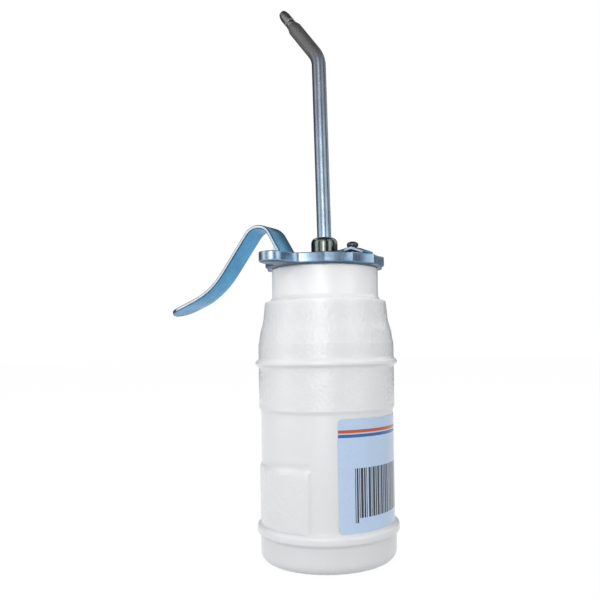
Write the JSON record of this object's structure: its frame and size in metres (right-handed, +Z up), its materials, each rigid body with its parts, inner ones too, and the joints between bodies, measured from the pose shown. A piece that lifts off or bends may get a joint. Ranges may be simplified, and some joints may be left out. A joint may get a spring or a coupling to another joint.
{
  "type": "thumb-pump workshop oiler",
  "caption": "Round translucent bottle with a fluted metal pump head, an arched thumb lever, a plunger rod and a long bent spout held by a union nut.",
  "frame": {"origin": "centre of the bottle's flat base, on the surface that it stands on", "axes": "+Z up along the bottle's axis; +X from the bottle's axis towards the plunger rod, so the thumb lever and the bent spout point to -X; +Y completes a right-handed frame"},
  "size_m": [0.1135, 0.0742, 0.2357],
  "materials": {
    "bottle": "translucent off-white moulded polyethylene, fine pebble texture",
    "label": "coated paper label, pale blue",
    "neck_gasket": "black nitrile ring",
    "pump_head": "zinc die casting, blue chromate with faint yellow tints",
    "lever": "bright zinc-plated strip",
    "lever_pin": "bright drawn steel",
    "plunger_rod": "drawn steel with an upset head",
    "rod_packing": "black packing ring",
    "packing_washer": "turned brass",
    "pump_barrel": "drawn brass tube",
    "piston": "turned brass",
    "piston_seal": "black nitrile ring",
    "piston_ball": "polished bearing ball",
    "return_spring": "spring wire",
    "foot_valve_body": "turned brass",
    "foot_valve_pin": "drawn wire",
    "foot_valve_ball": "polished bearing ball",
    "dip_tube": "natural polyethylene tube",
    "spout_seal": "black nitrile washer",
    "spout_collar": "turned brass, soldered to the tube",
    "spout_nut": "dark turned brass, oiled",
    "spout_tube": "zinc-plated steel tube, blue-grey",
    "nozzle_tip": "turned steel, dull grey"
  },
  "bodies": {
    "bottle": {"bottle": "bottle", "label": "label"},
    "gasket": {"neck_gasket": "neck_gasket"},
    "head": {"pump_head": "pump_head", "lever_pin": "lever_pin", "rod_packing": "rod_packing", "packing_washer": "packing_washer", "pump_barrel": "pump_barrel", "return_spring": "return_spring", "foot_valve_body": "foot_valve_body", "foot_valve_pin": "foot_valve_pin", "dip_tube": "dip_tube", "spout_seal": "spout_seal"},
    "lever": {"lever": "lever"},
    "plunger": {"plunger_rod": "plunger_rod", "piston": "piston", "piston_seal": "piston_seal"},
    "spout": {"spout_tube": "spout_tube", "nozzle_tip": "nozzle_tip", "spout_collar": "spout_collar"},
    "nut": {"spout_nut": "spout_nut"},
    "foot_ball": {"foot_valve_ball": "foot_valve_ball"},
    "piston_ball": {"piston_ball": "piston_ball"}
  },
  "joints": [
    {"name": "head_lift", "type": "slide", "parent": "bottle", "child": "gasket", "axis": [0, 0, 1], "range_m": [0, 0.125]},
    {"name": "head_turn", "type": "hinge", "parent": "gasket", "child": "head", "pos_m": [0, 0, 0.1214], "axis": [0, 0, 1], "range_deg": [0, 900]},
    {"name": "lever_pivot", "type": "hinge", "parent": "head", "child": "lever", "pos_m": [-0.0212, 0, 0.128], "axis": [0, -1, 0], "range_deg": [0, 17], "stiffness_Nm_per_rad": 0.4, "springref_deg": -6.3},
    {"name": "pump_stroke", "type": "slide", "parent": "head", "child": "plunger", "axis": [0, 0, 1], "range_m": [0, 0.0107], "deforming": ["return_spring"]},
    {"name": "spout_swivel", "type": "hinge", "parent": "head", "child": "spout", "pos_m": [0, 0, 0.1312], "axis": [0, 0, 1], "continuous": true},
    {"name": "spout_nut_turn", "type": "hinge", "parent": "head", "child": "nut", "pos_m": [0, 0, 0.126], "axis": [0, 0, 1], "continuous": true},
    {"name": "foot_valve_lift", "type": "slide", "parent": "head", "child": "foot_ball", "axis": [0, 0, 1], "range_m": [0, 0.0005]},
    {"name": "piston_valve_lift", "type": "slide", "parent": "plunger", "child": "piston_ball", "axis": [0, 0, 1], "range_m": [0, 0.001]}
  ],
  "couplings": [
    {"joint": "pump_stroke", "follows": "lever_pivot", "m_per_rad": 0.036}
  ]
}
